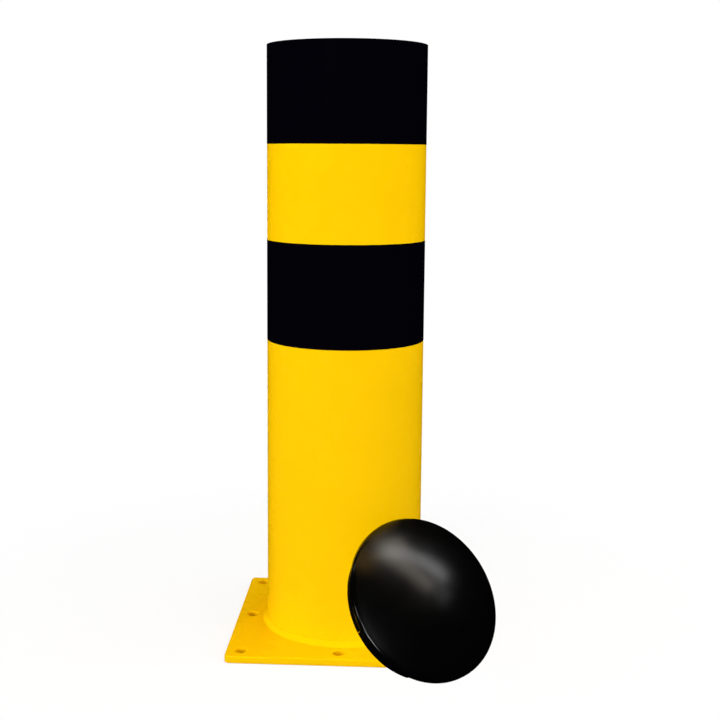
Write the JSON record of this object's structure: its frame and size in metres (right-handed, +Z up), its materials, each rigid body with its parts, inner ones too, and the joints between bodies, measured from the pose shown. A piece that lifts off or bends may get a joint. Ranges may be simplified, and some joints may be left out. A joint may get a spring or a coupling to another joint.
{
  "type": "safety bollard",
  "caption": "Tall round crash bollard on a bolted square foot plate, yellow with black bands, its domed plug cap taken off and leaning against the tube.",
  "frame": {"origin": "on the tube's axis at the underside of the base plate, at the centre of the anchor hole pattern", "axes": "+Z up along the tube, out of the floor; X and Y along the plate's edges, with -Y towards the viewer"},
  "size_m": [0.5368, 0.5735, 1.215],
  "materials": {
    "coated_plate": "glossy traffic yellow powder coat on a thick steel plate",
    "coated_tube": "glossy traffic yellow powder coat on steel tube",
    "coated_weld": "glossy traffic yellow powder coat over a rippled fillet weld",
    "black_film": "smooth deep black self-adhesive film",
    "cap_plastic": "satin black moulded plastic with a fine grain"
  },
  "bodies": {
    "root": {"base_plate": "coated_plate", "tube": "coated_tube", "weld_bead": "coated_weld", "upper_band": "black_film", "lower_band": "black_film", "cap": "cap_plastic"}
  },
  "joints": []
}
